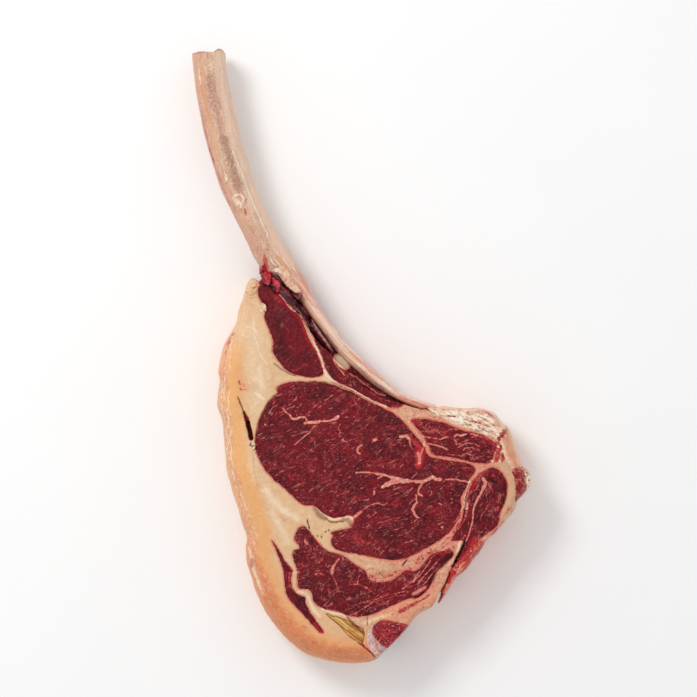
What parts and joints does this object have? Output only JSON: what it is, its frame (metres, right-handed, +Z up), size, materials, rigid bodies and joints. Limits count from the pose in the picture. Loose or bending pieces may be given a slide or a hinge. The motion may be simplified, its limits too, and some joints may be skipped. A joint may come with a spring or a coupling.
{
  "type": "raw tomahawk steak",
  "caption": "Thick raw rib steak lying flat, with its fat, muscles, backbone end and ligament as separate solids, and a long bare curved rib bone.",
  "frame": {"origin": "middle of the bounding box at the lower cut face, which lies on the surface", "axes": "+Z up out of the shown cut face, +Y towards the bare bone's sawn end, +X towards the backbone side"},
  "size_m": [0.2205, 0.4007, 0.048],
  "materials": {
    "meat": "moist raw beef, dark red with fine pale marbling",
    "fat": "firm cream fat, yellower at the outer edge",
    "flap": "thin salmon strip of fat and membrane",
    "ligament": "golden elastic ligament",
    "spongy_bone": "sawn open-pored red bone",
    "cartilage": "smooth bluish white cartilage",
    "chine_bone": "sawn backbone, pale and knobbly, with a tan side",
    "bone": "scraped rib bone, pinkish beige with streaks"
  },
  "bodies": {
    "root": {"eye_muscle": "meat", "lip_muscle": "meat", "intercostal_muscle": "meat", "chine_muscle": "meat", "side_muscle": "meat", "cap_muscle": "meat", "sliver_muscle": "meat", "rib_fat": "fat", "fat_body": "fat", "side_flap": "flap", "ligament": "ligament", "button_bone": "spongy_bone", "cartilage": "cartilage", "chine_bone": "chine_bone", "rib_bone": "bone"}
  },
  "joints": []
}
